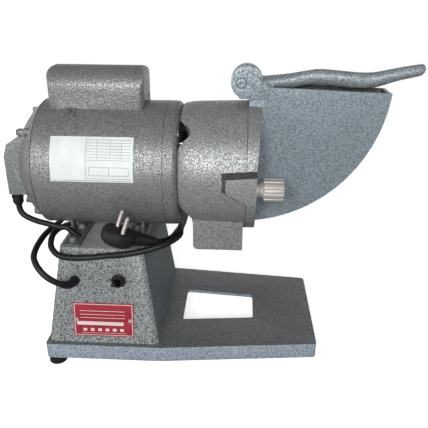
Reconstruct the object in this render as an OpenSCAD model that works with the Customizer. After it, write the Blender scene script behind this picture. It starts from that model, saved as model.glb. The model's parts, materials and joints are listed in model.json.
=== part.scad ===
// Bench-top motor grater for hard cheese and coconut.
// A single-phase motor stands on a hollow cast pedestal and spins a grating disc inside a round housing.
// Food in the narrow quarter-circle hopper is swept on to the disc by the pusher of the hand lever.
// Along X everything is measured from the drive face of the motor, along Z from the table or the motor axis.

/* [Motor] */
// Outside diameter of the motor shell
shell_d = 143; // [136:1:150]
// Wall of the rolled shell
shell_wall = 2.5; // [2:0.5:3.5]
// Drive face to the seam of the rear end shield
shell_l = 155; // [150:1:170]
// Height of the motor axis over the table
axis_z = 224.5; // [220:0.5:240]
// Length of the drive end shield
front_shield_l = 16; // [14:1:20]
// Radius of the domed rear end shield
bell_r = 77; // [76:1:90]
// Wall of the cast end shields
shield_wall = 4; // [3:0.5:5]
// Length of the stator iron
stator_l = 62; // [50:1:66]
// Diameter of the stator bore
stator_bore = 76; // [70:1:80]
// Air gap between rotor and stator
air_gap = 0.5; // [0.4:0.1:1]
// Diameter of the shaft in its bearings
shaft_d = 15; // [12:1:17]
// Outside diameter of a ball bearing
bearing_d = 35; // [32:1:37]
// Width of a ball bearing
bearing_w = 11; // [9:1:12]
// Radial running clearance of every turning fit
run_gap = 0.05; // [0.02:0.01:0.1]

// Length of the motor's label
label_l = 88; // [80:1:92]
// Arc of the shell that the label covers, up from the level of the shaft
label_arc = 38.6; // [34:0.5:42]

/* [Capacitor box] */
// Length of the capacitor cover
cap_l = 105; // [95:1:112]
// Width of the capacitor cover
cap_w = 52; // [46:1:56]
// Top of the capacitor cover over the motor axis
cap_top = 110.5; // [106:0.5:118]
// Sheet of the capacitor cover
cap_wall = 1.5; // [1:0.5:2]
// Drive face to the near end of the capacitor cover
cap_x = 39.5; // [36:0.5:44]

/* [Terminal cover] */
// Width of the terminal cover on the rear end shield
term_w = 96; // [90:1:104]
// Seam of the rear end shield to the flat back of the terminal cover
term_reach = 37; // [36:0.5:41]
// Wall of the terminal cover
term_wall = 2.5; // [2:0.5:3]

/* [Grater housing] */
// Length of the housing from drive face to hopper seam
house_l = 72.6; // [70:0.1:78]
// Radius of the housing at the motor
house_r1 = 71.2; // [70:0.1:72]
// Radius of the housing at the hopper seam
house_r2 = 73.3; // [72:0.1:75]
// Wall of the housing casting
house_wall = 5; // [4:0.5:6]
// Drive face to the bulkhead that closes the food chamber
bulkhead_x = 13.6; // [12:0.1:16]
// Thickness of the bulkhead
bulkhead_t = 4; // [3:0.5:6]
// Width of the discharge chute
chute_w = 104; // [96:1:110]
// Bottom of the chute under the motor axis
chute_drop = 86; // [80:1:92]
// Wall of the discharge chute
chute_wall = 4; // [3:0.5:5]

/* [Grating disc] */
// Radius of the grating disc
disc_r = 64; // [62:0.5:65]
// Sheet of the grating disc
disc_t = 1.4; // [1:0.1:1.6]
// Height of the burr round each punched hole
burr_h = 1.4; // [0.8:0.1:1.5]
// Radius of a punched hole
punch_r = 1.7; // [1.2:0.1:2]
// Rows of punched holes
punch_rows = 5; // [3:1:5]

/* [Hopper] */
// Extra thickness of the hopper flange at its top, where its face leans out
flange_lean = 4; // [0:0.5:6]
// Outside width of the hopper
hop_w = 36; // [34:1:44]
// Wall of the hopper
hop_wall = 4; // [3:0.5:5]
// Radius of the curved outer wall round the hinge pin
hop_r = 160; // [156:1:164]
// Thickness of the hopper flange
flange_t = 10.8; // [10:0.1:12]
// Height of the hinge pin over the motor axis
pin_z = 96; // [95:0.5:98]
// Drive face to the hinge pin
pin_x = 64.7; // [63:0.1:66]
// Diameter of the hinge pin
pin_d = 8; // [7:0.5:9]
// Radius of an ear round the hinge pin
ear_r = 13; // [12:0.5:14]
// Fall of the hopper rim away from the hinge, in degrees
rim_a = 1.9; // [1:0.1:4]
// Depth that an ear stands proud of the hopper side
ear_proud = 2; // [1:0.5:3]

/* [Lever] */
// Hinge pin to the tip of the lever
lever_l = 196; // [190:1:202]
// Thickness of the lever rod in its grip
rod_d = 14.6; // [13:0.1:16]
// Radius of the lever hub
hub_r = 17.4; // [15:0.1:17.6]
// Gap between pusher or hub and the hopper wall
side_gap = 0.8; // [0.5:0.1:1.5]
// Gap between the pusher tip and the curved wall
sweep_gap = 1.5; // [1:0.1:3]
// Gap between pusher face and the burrs
feed_gap = 2; // [1.5:0.1:2.5]
// Thickness of the pusher plate
plate_t = 4; // [3:0.5:5]

/* [Thumb knobs] */
// Diameter of a thumb knob
knob_d = 24; // [20:1:26]
// Length of the fluted head of a thumb knob
knob_l = 22; // [18:1:24]
// Diameter of the studs
stud_d = 8; // [6:1:9]
// Motor axis to stud, sideways
stud_y = 70; // [69:0.5:72]
// Depth of a stud under the motor axis
stud_drop = 5; // [4:0.5:7]

/* [Base] */
// Half width of the base under the motor
base_hw = 94.4; // [90:0.2:98]
// Half width of the base at its free end
base_end_hw = 76.2; // [72:0.2:82]
// Drive face to the motor end of the base
base_back = 155.4; // [152:0.2:160]
// Drive face to the free end of the base
base_front = 160.8; // [155:0.2:170]
// Top of the base plate over the table
plate_z = 31; // [29:0.5:34]
// Thickness of the base plate
base_t = 4; // [3:0.5:6]
// Height of the turned-down rim
rim_h = 19; // [16:0.5:21]
// Top of the pedestal over the table
ped_z = 147.5; // [146:0.5:148.5]
// Wall of the pedestal
ped_wall = 5; // [4:0.5:6]
// Half width of the pedestal top
ped_top_hw = 75; // [72:1:76]
// Half width of the pedestal foot
ped_foot_hw = 88; // [84:1:90]
// Radius of a rubber foot
foot_r = 11; // [9:0.5:12]

/* [Electrics] */
// Diameter of the supply cord
cord_d = 6.8; // [6:0.1:7.6]
// Length of the rating plate
rating_l = 70; // [60:1:74]
// Height of the rating plate
rating_h = 42; // [36:1:44]
// Diameter of the switch nut
nut_d = 16; // [14:0.5:18]
// Free length of the toggle bat
bat_l = 13; // [11:0.5:16]
// Tilt of the toggle bat to either side
bat_tilt = 13; // [10:1:15]
// Diameter of the plug body
plug_d = 36; // [32:1:38]

/* [Hidden] */
$fn = 64;
eps = 0.01;
seat = 0.02;
face_gap = 0.3;

// Overall reach, for the middle of the part
term_back = shell_l + term_reach;
mid_x = (pin_x + lever_l - term_back) / 2;

// Motor
shell_r = shell_d / 2;
shell_in = shell_r - shell_wall;
shell_back = -shell_l;
shell_front = -front_shield_l;
spigot_l = 6;
bell_depth = 32.5;
bell_set = bell_r - bell_depth;
bell_x = shell_back + bell_set;
bell_c = shell_r - sqrt(bell_r * bell_r - bell_set * bell_set);
shaft_r = shaft_d / 2;
bearing_r = bearing_d / 2;
front_bearing_x = -bearing_w - 6;
rear_bearing_x = shell_back - 14;
stator_x = (shell_back + shell_front - stator_l) / 2;
lug_a = 45;
tab_a = 26;
tab_t = 1.4;
term_screw_z = 38;
term_screw_y = 20;
cover_r = 62;
bolt_pcr = shell_in - 5;
bolt_r = 2.5;
fixing_pcr = 46;
nose_r = 7;

// Grater housing
house_in = house_r1 - house_wall;
chamber_x = bulkhead_x + bulkhead_t;
chute_hw = chute_w / 2;
shoulder_r = 4;
shoulder_l = 22;
lug_x = 51;
lug_draft = 0.55;

// Grating disc
disc_x = house_l + 1.6;
disc_front = disc_x + disc_t;
burr_x = disc_front + burr_h;
recess_r = disc_r + 2;
plate_x = burr_x + 1.2;
flange_x = house_l + flange_t;
flange_r = house_r2;
hub_flange_r = 24;

// Hopper and lever
hop_hw = hop_w / 2;
hop_in = hop_hw - hop_wall;
hop_ri = hop_r - hop_wall;
rim_drop = 3.7;
neck_in = 1.5;
label_right = -46;
label_t = 0.4;
ear_x = pin_x + 3.6;
ear_out = hop_hw + ear_proud;
ear_drop = 16.5;
hub_x = pin_x + 6.2;
pin_r = pin_d / 2;
hub_hw = hop_in - side_gap;
rod_r = rod_d / 2;
// Centre line of the lever from the pin, each point with half its thickness and half its width
lever_path = [
  [12, 0, 8, 11.5], [22, -1.5, 6.8, 11.5], [32, -1.2, 7, 10.5], [46, 0, 7.4, 9], [58, 1.8, 7.4, 8],
  [70, 4.4, 7, rod_r], [84, 6, rod_r, rod_r], [104, 4.8, rod_r, rod_r], [124, 3.1, rod_r, rod_r],
  [140, 3.2, rod_r, rod_r], [154, 5.6, rod_r, rod_r], [170, 9.4, rod_r - 0.4, rod_r - 0.4],
  [lever_l - rod_r + 1, 13.4, rod_r - 1, rod_r - 1]
];
pad_x = burr_x + feed_gap;
blade_x = flange_x + 0.5;
slot_top = 62;
pusher_screw_z = [slot_top + 6, slot_top + 16];

// Knobs
knob_z = -stud_drop;
stud_r = stud_d / 2;
stud_x = house_l - 19.6;
washer_t = 1.5;
knob_x = flange_x + washer_t + 0.1;
neck_l = 5;
knob_r = knob_d / 2;
stud_end = knob_x + neck_l + knob_l - 5;

// Base
rim_z = plate_z - rim_h;
taper_x = -22.4;
ped_top_back = -133.4;
ped_top_front = -38.4;
ped_foot_back = -153.4;
ped_foot_front = -22.4;
slope = atan((ped_foot_hw - ped_top_hw) / (ped_z - plate_z));
rail_z = ped_z - axis_z;
rail_x = [-119.4, -52];
bolt_y = 64;
cradle_bolt_y = [-bolt_y, -27, 27, bolt_y];
rail_h = 3;
web_hw = 40;
rail_hw = 73;
foot_spots = [[9 - base_back, base_hw - 11.9], [base_front - 22.8, base_end_hw - 24.2]];
cord_r = cord_d / 2;
grommet_r = cord_r + 1.2;
hole_x = -117.4;
hole_z = ped_z - 38.7;
switch_x = -67.4;
switch_z = ped_z - 37.2;
rating_x = -86.6;
rating_z = ped_z - 86.8;

module on_axis() { translate([-mid_x, 0, axis_z]) children(); }
module on_table() { translate([-mid_x, 0, 0]) children(); }

// A body of revolution about the motor axis, drawn as [radius, x] points
module spun(points) { rotate([0, 90, 0]) rotate_extrude() polygon(points); }
module rod_x(x, r, l) { translate([x, 0, 0]) rotate([0, 90, 0]) cylinder(r = r, h = l); }
module cone_x(x, r1, r2, l) { translate([x, 0, 0]) rotate([0, 90, 0]) cylinder(r1 = r1, r2 = r2, h = l); }
module tube_x(x, ro, ri, l) {
  difference() {
    rod_x(x, ro, l);
    rod_x(x - 1, ri, l + 2);
  }
}
module rod_y(x, z, r, y0, y1) { translate([x, y1, z]) rotate([90, 0, 0]) cylinder(r = r, h = y1 - y0); }

// An [x, z] outline given a width across the machine
module across(points, y0, y1) { translate([0, y1, 0]) rotate([90, 0, 0]) linear_extrude(y1 - y0) polygon(points); }

// Copies at the four corners of the motor, turned about its axis
module at_lugs() { for (a = [lug_a, 180 - lug_a, 180 + lug_a, -lug_a]) rotate([a, 0, 0]) children(); }

// The sloping front of the pedestal: X along it, Y up it, Z out of it
function front_y(z) = -ped_top_hw - (ped_z - z) * tan(slope);
module on_front(x, z) { translate([x, front_y(z), z]) rotate([90 - slope, 0, 0]) children(); }

module screw(r, head_r, head_h, l) {
  translate([0, 0, -l]) cylinder(r = r, h = l + eps);
  cylinder(r = head_r, h = head_h);
}

// ---- Base ----
module base_outline(inset, back, front) {
  polygon([
    [back, -base_hw + inset], [taper_x, -base_hw + inset], [front, -base_end_hw + inset],
    [front, base_end_hw - inset], [taper_x, base_hw - inset], [back, base_hw - inset]
  ]);
}
module rounded(r) { offset(r = r, $fn = 32) offset(delta = -r) children(); }

// Level cut through the pedestal at a height, taken in by a wall
module pedestal_cut(inset, z) {
  t = (ped_z - z) / (ped_z - plate_z);
  back = ped_top_back + t * (ped_foot_back - ped_top_back) + inset;
  front = ped_top_front + t * (ped_foot_front - ped_top_front) - inset;
  hw = ped_top_hw + t * (ped_foot_hw - ped_top_hw) - inset;
  translate([0, 0, z]) linear_extrude(eps) rounded(8) translate([back, -hw]) square([front - back, 2 * hw]);
}
module pedestal(inset, z0, z1) {
  hull() {
    pedestal_cut(inset, z0);
    pedestal_cut(inset, z1 - eps);
  }
}

module window(grow) {
  hw0 = 35 - grow;
  hw1 = 26.3 - grow;
  translate([0, 0, plate_z - base_t - 1]) linear_extrude(base_t + 2) rounded(3)
    polygon([[-0.8 + grow, -hw0], [87.2 - grow, -hw1], [87.2 - grow, hw1], [-0.8 + grow, hw0]]);
}

module base_casting() {
  color("#8c9094") on_table() difference() {
    union() {
      translate([0, 0, rim_z]) linear_extrude(rim_h) rounded(4) base_outline(0, -base_back, base_front);
      pedestal(0, plate_z - eps, ped_z);
    }
    difference() {
      translate([0, 0, rim_z - 1]) linear_extrude(rim_h + 1 - base_t) rounded(2)
        base_outline(base_t, base_t - base_back, base_front - base_t);
      for (s = foot_spots) for (k = [-1, 1]) translate([s[0], k * s[1], rim_z]) cylinder(r = foot_r - 1, h = rim_h);
    }
    pedestal(ped_wall, plate_z - base_t - 1, ped_z - ped_wall);
    window(0);
    for (s = foot_spots) for (k = [-1, 1]) translate([s[0], k * s[1], rim_z - 1]) cylinder(r = 2.1, h = 13);
    on_front(hole_x, hole_z) translate([0, 0, -20]) cylinder(r = grommet_r + seat, h = 40);
    on_front(switch_x, switch_z) translate([0, 0, -20]) cylinder(r = 6.1, h = 40);
    for (k = [-1, 1]) on_front(rating_x + k * (rating_l / 2 - 4), rating_z) translate([0, 0, -20])
      cylinder(r = 1.5, h = 40);
    for (x = rail_x) for (y = cradle_bolt_y) translate([x, y, ped_z - 20]) cylinder(r = 3.1, h = 40);
    translate([0, 0, axis_z]) lead_bore(cord_r + 0.8);
  }
}

module rubber_feet() {
  color("#1b1b1b") on_table() for (s = foot_spots) for (k = [-1, 1]) translate([s[0], k * s[1], 0]) difference() {
    rotate_extrude() polygon([[0, 0], [foot_r - 1.5, 0], [foot_r - 0.5, 1], [foot_r - 1, rim_z], [0, rim_z]]);
    translate([0, 0, -1]) cylinder(r = 4.5, h = 4);
    cylinder(r = 2.1, h = 20);
  }
}

module foot_screws() {
  color("silver") on_table() for (s = foot_spots) for (k = [-1, 1]) translate([s[0], k * s[1], 3]) mirror([0, 0, 1])
    screw(2.05, 4, 2, 14);
}

// ---- Motor stand ----
// Slanting hole for the motor lead through the first rail and the pedestal top
module lead_bore(r) {
  translate([lead_end[0], lead_end[1], rail_z + rail_h]) rotate([0, 90 + lead_dip, 0])
    cylinder(r = r, h = 50, center = true);
}
module motor_cradle() {
  color("#5d5f61") on_axis() for (i = [0, 1]) difference() {
    x = rail_x[i];
    out = 1 - 2 * i;
    union() {
      translate([x - 9, -rail_hw, rail_z]) cube([18, 2 * rail_hw, rail_h]);
      translate([x - 1.5 - 7.5 * out, -web_hw, rail_z]) cube([3, 2 * web_hw, 44]);
    }
    rod_x(x - 20, shell_r + seat, 40);
    for (y = cradle_bolt_y) translate([x, y, rail_z - 1]) cylinder(r = 3.1, h = 5);
    translate([x - 20, -30, rail_z + rail_h]) cube([40, 60, 50]);
    if (i == 0) lead_bore(cord_r + 0.8);
  }
}

module cradle_bolts() {
  color("silver") on_axis() for (x = rail_x) for (y = cradle_bolt_y) translate([x, y, rail_z + rail_h]) {
    cylinder(r = 5.6, h = 1.2);
    cylinder(r = 4.6, h = 5, $fn = 6);
    translate([0, 0, -18]) cylinder(r = 3, h = 19);
    translate([0, 0, -rail_h - ped_wall - 5]) cylinder(r = 5.5, h = 5, $fn = 6);
  }
}

// ---- Motor ----
module motor_shell() {
  color("#7d7f7b") on_axis() difference() {
    tube_x(shell_back, shell_r, shell_in, shell_l - front_shield_l);
    at_tabs() translate([0, 0, -10]) cylinder(r = 1.6, h = 20);
  }
}

module stator_core() {
  slot_n = 24;
  slot_r = stator_bore / 2 + 9;
  color("#6f6f72") on_axis() difference() {
    rod_x(stator_x, shell_in - seat, stator_l);
    rod_x(stator_x - 1, stator_bore / 2, stator_l + 2);
    for (i = [0 : slot_n - 1]) rotate([i * 360 / slot_n, 0, 0]) translate([stator_x - 1, -2.2, stator_bore / 2 + 2])
      cube([stator_l + 2, 4.4, 13]);
    at_lugs() translate([0, 0, bolt_pcr]) rod_x(stator_x - 1, bolt_r + 0.6, stator_l + 2);
  }
}

module windings() {
  color("#a5561f") on_axis() for (x = [stator_x - 16, stator_x + stator_l + 0.5]) spun([
    [stator_bore / 2 + 3, x], [stator_bore / 2 + 16, x], [stator_bore / 2 + 18, x + 3],
    [stator_bore / 2 + 18, x + 13], [stator_bore / 2 + 16, x + 15.5], [stator_bore / 2 + 3, x + 15.5]
  ]);
}

module front_end_shield() {
  color("#83857f") on_axis() difference() {
    union() {
      spun(concat(
        [[20, 0]],
        [for (a = [0 : 15 : 90]) [shell_r - nose_r + nose_r * sin(a), nose_r * cos(a) - nose_r]],
        [[shell_r, shell_front], [shell_in - seat, shell_front], [shell_in - seat, shell_front - spigot_l],
         [shell_in - shield_wall, shell_front - spigot_l], [shell_in - shield_wall, -6], [20, -6]]
      ));
      rod_x(front_bearing_x - 1, bearing_r + 4, bearing_w + 7);
      at_lugs() translate([0, 0, bolt_pcr]) rod_x(shell_front + 2, 5, -shell_front - 2);
    }
    rod_x(front_bearing_x - 2, bearing_r + seat, bearing_w + 2);
    rod_x(-20, shaft_r + 1, 30);
    at_lugs() translate([0, 0, bolt_pcr]) rod_x(-30, bolt_r + seat, 40);
    at_lugs() translate([0, 0, fixing_pcr]) rod_x(-12, 2.5, 14);
  }
}

function bell_edge(r0, gap) = [for (i = [0 : 8]) let (r = (shell_r - gap) + (r0 - shell_r + gap) * i / 8)
  [r, bell_x - sqrt((bell_r - gap) * (bell_r - gap) - (r - bell_c) * (r - bell_c))]];

module bell(gap) {
  spun(concat([[bell_c, shell_back + 0], [shell_r - gap, shell_back]], bell_edge(bell_c, gap)));
  rod_x(bell_x - bell_r + gap, bell_c + eps, bell_depth - gap);
}

module rear_end_shield() {
  color("#83857f") on_axis() difference() {
    union() {
      difference() {
        bell(0);
        bell(shield_wall);
      }
      tube_x(shell_back - eps, shell_in - seat, shell_in - shield_wall, spigot_l);
      rod_x(rear_bearing_x - 2, bearing_r + 4, bearing_w + 2);
      for (a = [0, 120, 240]) rotate([a, 0, 0]) translate([rear_bearing_x - 2, -2, 0]) cube([bearing_w - 2, 4, shell_r - 9]);
      rod_x(bell_x - bell_r + 1, 9, 20);
      at_lugs() translate([0, 0, bolt_pcr]) rod_x(shell_back - 7, 5, 7);
    }
    rod_x(rear_bearing_x, bearing_r + seat, bearing_w + 2);
    rod_x(rear_bearing_x - 4, shaft_r + 1, 30);
    rod_x(bell_x - bell_r + 4, shaft_r + 4, 20);
    at_lugs() translate([0, 0, bolt_pcr]) rod_x(shell_back - 40, bolt_r + seat, 60);
    at_lugs() translate([0, 0, bolt_pcr]) rod_x(shell_back - 40, 5.5, 33);
    for (k = [-1, 1]) translate([0, k * term_screw_y, term_screw_z]) rod_x(-term_back - 8, 1.5, 30);
  }
}

module through_bolts() {
  color("silver") on_axis() at_lugs() translate([0, 0, bolt_pcr]) {
    rod_x(shell_back - 7, bolt_r, shell_l + 7);
    translate([shell_back - 10.5, 0, 0]) rotate([0, 90, 0]) cylinder(r = 4.6, h = 3.5, $fn = 6);
  }
}

module ball_bearing(x) {
  ball = 3;
  mid_r = (bearing_r + shaft_r) / 2;
  difference() {
    tube_x(x, bearing_r, shaft_r + run_gap, bearing_w);
    spun([[mid_r - 1.6, x - 1], [mid_r + 1.6, x - 1], [mid_r + 1.6, x + 2], [mid_r - 1.6, x + 2]]);
    spun([[mid_r - 1.6, x + bearing_w - 2], [mid_r + 1.6, x + bearing_w - 2],
      [mid_r + 1.6, x + bearing_w + 1], [mid_r - 1.6, x + bearing_w + 1]]);
  }
}
module front_bearing() { color("#c9ccd0") on_axis() ball_bearing(front_bearing_x); }
module rear_bearing() { color("#c9ccd0") on_axis() ball_bearing(rear_bearing_x); }

module motor_shaft() {
  color("#b9bcc0") on_axis() difference() {
    union() {
      rod_x(rear_bearing_x - 6, shaft_r, front_bearing_x + bearing_w - rear_bearing_x + 6 + eps);
      rod_x(front_bearing_x + bearing_w, shaft_r - 0.5, disc_front - front_bearing_x - bearing_w);
      rod_x(rear_bearing_x + bearing_w + 0.5, shaft_r + 2, 8);
      rod_x(front_bearing_x - 8.5, shaft_r + 2, 8);
    }
    translate([disc_x - 16, shaft_r - 2.5, -2]) cube([30, 10, 4]);
  }
}

module rotor_core() {
  rotor_r = stator_bore / 2 - air_gap;
  bars = 28;
  color("#8b8d90") on_axis() {
    difference() {
      rod_x(stator_x, rotor_r, stator_l);
      rod_x(stator_x - 1, shaft_r + seat, stator_l + 2);
      for (i = [0 : bars - 1]) rotate([i * 360 / bars, 0, 0]) translate([0, 0, rotor_r + 0.4])
        rod_x(stator_x - 1, 1.4, stator_l + 2);
    }
    for (x = [stator_x - 5, stator_x + stator_l - eps]) tube_x(x, rotor_r - 2.5, rotor_r - 12, 5);
  }
}

module cooling_fan() {
  fan_x = stator_x + stator_l + 8;
  blades = 9;
  color("#2b2b2b") on_axis() {
    tube_x(fan_x, 16, shaft_r + seat, 14);
    tube_x(fan_x, 37, 15, 2);
    for (i = [0 : blades - 1]) rotate([i * 360 / blades, 0, 0]) translate([fan_x + 1, -0.8, 15.5]) cube([12, 1.6, 21]);
  }
}

module start_switch() {
  x = stator_x - 24;
  color("#9a7b45") on_axis() {
    tube_x(x, 26, shaft_r + seat, 3);
    tube_x(x + 2.5, 13, shaft_r + seat, 12);
    for (k = [0, 180]) rotate([k, 0, 0]) translate([x + 2, -7, 16]) cube([9, 14, 8]);
  }
}

module terminal_block_outline(inset) {
  z_low = -26;
  z_top = 42;
  x0 = shell_back + 15;
  across([
    [x0, z_low + inset], [-term_back + inset, z_low + inset], [-term_back + inset, 18 - inset / 2],
    [-term_back + 4.5 + inset, 32 - inset / 2], [-term_back + 24, z_top - inset], [x0, z_top - inset]
  ], -term_w / 2 + inset, term_w / 2 - inset);
}
module terminal_cover() {
  color("#7f827e") on_axis() difference() {
    union() {
      intersection() {
        terminal_block_outline(0);
        rod_x(-term_back - 10, cover_r, term_reach + 30);
      }
      for (k = [-1, 1]) translate([0, k * term_screw_y, term_screw_z]) rod_x(4 - term_back, 4.6, 24);
    }
    intersection() {
      terminal_block_outline(term_wall);
      rod_x(-term_back - 10, cover_r - term_wall, term_reach + 30);
    }
    bell(-seat);
    rod_x(shell_back - seat, shell_r + 2, 40);
    for (k = [-1, 1]) translate([0, k * term_screw_y, term_screw_z]) rod_x(-term_back - 8, 1.7, 50);
    translate([gland[0], gland[1], -40]) cylinder(r = gland_r + 0.1, h = 30);
  }
}

module terminal_screws() {
  color("silver") on_axis() for (k = [-1, 1]) translate([4 - term_back - seat, k * term_screw_y, term_screw_z])
    rotate([0, -90, 0]) screw(1.45, 3.6, 2.4, 14);
}

module cable_gland() {
  color("#1a1a1a") on_axis() translate([gland[0], gland[1], gland[2]]) difference() {
    union() {
      cylinder(r = gland_r, h = 22);
      cylinder(r = gland_r + 1.5, h = 5, $fn = 6);
      translate([0, 0, 5]) cylinder(r = gland_r + 1.5, h = 2.5);
      translate([0, 0, -3.5]) cylinder(r1 = gland_r - 0.6, r2 = gland_r + 1, h = 3.5 + eps);
    }
    translate([0, 0, -10]) cylinder(r = cord_r, h = 40);
  }
}

// ---- Capacitor box ----
// Outline of the box from the side or from above, its far corners rounded
function round_ends(x0, x1, y0, y1, r) = concat(
  [[x0, y0], [x1, y0]],
  [for (a = [0 : 15 : 90]) [x1 - r + r * cos(a), y1 - r + r * sin(a)]],
  [for (a = [90 : 15 : 180]) [x0 + r + r * cos(a), y1 - r + r * sin(a)]]);

module cap_form(inset) {
  edge = 7 - inset;
  hw = cap_w / 2 - inset;
  x0 = -cap_x - cap_l + inset;
  x1 = -cap_x - inset;
  low = shell_r - 14;
  intersection() {
    union() {
      translate([0, 0, cap_top - cap_w / 2]) rod_x(x0, hw, x1 - x0);
      translate([x0, -hw, low]) cube([x1 - x0, 2 * hw, cap_top - cap_w / 2 - low]);
    }
    across(round_ends(x0, x1, low - 1, cap_top - inset, edge), -hw - 1, hw + 1);
    translate([0, 0, low - 2]) linear_extrude(90) polygon(round_ends(x0, x1, -hw - 2, hw, edge));
    mirror([0, 1, 0]) translate([0, 0, low - 2]) linear_extrude(90) polygon(round_ends(x0, x1, -hw - 2, hw, edge));
  }
}
// Screw tabs of the cover: near the rear on one side, near the drive end on the other
module at_tabs() {
  for (k = [-1, 1]) translate([-cap_x - cap_l / 2 + k * (cap_l / 2 - 24), 0, 0]) rotate([-k * tab_a, 0, 0])
    translate([0, 0, shell_r]) children();
}
module capacitor_cover() {
  color("#808482") on_axis() difference() {
    union() {
      cap_form(0);
      at_tabs() translate([-7, -7, seat]) cube([14, 14, tab_t]);
    }
    cap_form(cap_wall);
    rod_x(-200, shell_r + seat, 200);
    at_tabs() translate([0, 0, -1]) cylinder(r = 1.6, h = 8);
  }
}
module capacitor() {
  can_r = (cap_top - cap_wall - shell_r - 2 * face_gap) / 2;
  color("#26282b") on_axis() translate([0, 0, shell_r + face_gap + can_r]) {
    rod_x(-cap_x - cap_l + 14, can_r, cap_l - 28);
    for (k = [-1, 1]) translate([0, k * 7, 0]) rod_x(-cap_x - 14 - eps, 3, 7);
  }
}
module capacitor_screws() {
  color("silver") on_axis() at_tabs() translate([0, 0, tab_t + seat]) screw(1.55, 3.2, 1.8, tab_t + shell_wall);
}

// Bare data label, bent round the shell
module motor_label() {
  reach = 2 * shell_r;
  color("#f2f2ee") on_axis() intersection() {
    tube_x(label_right - label_l, shell_r + label_t, shell_r + seat, label_l);
    translate([label_right - label_l - 1, 0, 0]) rotate([90, 0, 90]) linear_extrude(label_l + 2)
      polygon([[0, 0], [-reach, 0], [-reach * cos(label_arc), reach * sin(label_arc)]]);
  }
}

// ---- Grater ----
module shaft_seal() {
  color("#151515") on_axis() tube_x(bulkhead_x - 2, 13, shaft_r - 0.5 + run_gap, bulkhead_t + 2);
}

// Side lug for a stud, from x0 to x1: a drafted boss that grows out of the round casting
function lug_outline(g) = [
  [lug_x - g, 8 + g], [lug_x - g, -6.5 - 0.3 * g], [lug_x + 22 - 0.5 * g, -19 - 0.2 * g],
  [flange_x, -20.5 - 0.2 * g], [flange_x, 11 + g]
];
module side_lug(x0, x1) {
  lug_y = stud_y + 10;
  root_y = 58;
  for (k = [0, 1]) mirror([0, k, 0]) difference() {
    intersection() {
      hull() {
        across(lug_outline(lug_draft * (lug_y - root_y)), -root_y, 1 - root_y);
        across(lug_outline(0), -lug_y, 1 - lug_y);
      }
      translate([x0, -100, -50]) cube([x1 - x0, 100, 100]);
    }
    rod_x(30, house_in + 1, 70);
  }
}

// Radius of the housing along X: a slow cone with a round shoulder at the motor
function house_at(x) = house_r1 + (house_r2 - house_r1) * x / house_l
  - (x < shoulder_l ? shoulder_r * (1 - sqrt(1 - pow((shoulder_l - x) / shoulder_l, 2))) : 0);

module housing_outline(inset) {
  spun(concat([[0, 0]], [for (x = [0, 1.5, 4, 8, 14, shoulder_l, house_l]) [house_at(x) - inset, x]], [[0, house_l]]));
  translate([bulkhead_x + 1 + inset, inset - chute_hw, -chute_drop - 1 + (inset > 0 ? 0 : 1)])
    cube([house_l - 3 - bulkhead_x - 2 * inset, 2 * (chute_hw - inset), chute_drop]);
}

module grater_housing() {
  color("#84857e") on_axis() difference() {
    union() {
      housing_outline(0);
      side_lug(0, house_l);
    }
    // food chamber, open to the chute
    rod_x(chamber_x, house_in, house_l);
    difference() {
      housing_outline(chute_wall);
      rod_x(0, house_in, chamber_x);
      translate([0, -100, -40]) cube([200, 200, 200]);
    }
    // hollow skirt between motor and bulkhead
    difference() {
      rod_x(-1, house_in, bulkhead_x + 1);
      at_lugs() translate([-2, -9, 40]) cube([40, 18, 40]);
    }
    // shaft seal and fixing bolts
    rod_x(bulkhead_x - 3, 13 + seat, bulkhead_t + 10);
    at_lugs() translate([0, 0, fixing_pcr]) rod_x(-2, 2.6, 40);
    at_lugs() translate([0, 0, bolt_pcr]) rod_x(-2, 5.5, 6);
    // finger notches beside the upper lugs
    for (k = [-1, 1]) rotate([-k * lug_a, 0, 0]) {
      translate([2, 0, 40]) cylinder(r = 10.6, h = 60);
      translate([0, 0, 40]) linear_extrude(60) polygon([[-1, -19], [8, -8], [8, 8], [-1, 19]]);
    }
    // open underside of the skirt
    across([[-1, -25], [bulkhead_x, -47], [bulkhead_x, -100], [-1, -100]], -90, 90);
    for (k = [-1, 1]) translate([0, k * stud_y, knob_z]) rod_x(stud_x - seat, stud_r + seat, 60);
    // soft corner where the chute meets its own end wall
    translate([bulkhead_x + 1, 0, -chute_drop]) rotate([90, 0, 0]) linear_extrude(300, center = true) difference() {
      square([5, 5]);
      translate([5, 5]) circle(5);
    }
  }
}

module housing_bolts() {
  color("silver") on_axis() at_lugs() translate([0, 0, fixing_pcr]) {
    rod_x(-11, 2.45, chamber_x + 11);
    translate([chamber_x, 0, 0]) rotate([0, 90, 0]) cylinder(r = 4.4, h = 4);
  }
}

module disc_hub() {
  color("#a9acb0") on_axis() difference() {
    union() {
      rod_x(disc_x - 5, hub_flange_r, 5);
      rod_x(disc_x - 24, 14, 20);
    }
    rod_x(disc_x - 30, shaft_r - 0.5 + seat, 40);
    translate([disc_x - 30, shaft_r - 2.5, -2]) cube([40, 5, 4]);
    for (a = [0 : 120 : 359]) rotate([a, 0, 0]) translate([0, 0, 17]) rod_x(disc_x - 10, 2, 20);
  }
}

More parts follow.
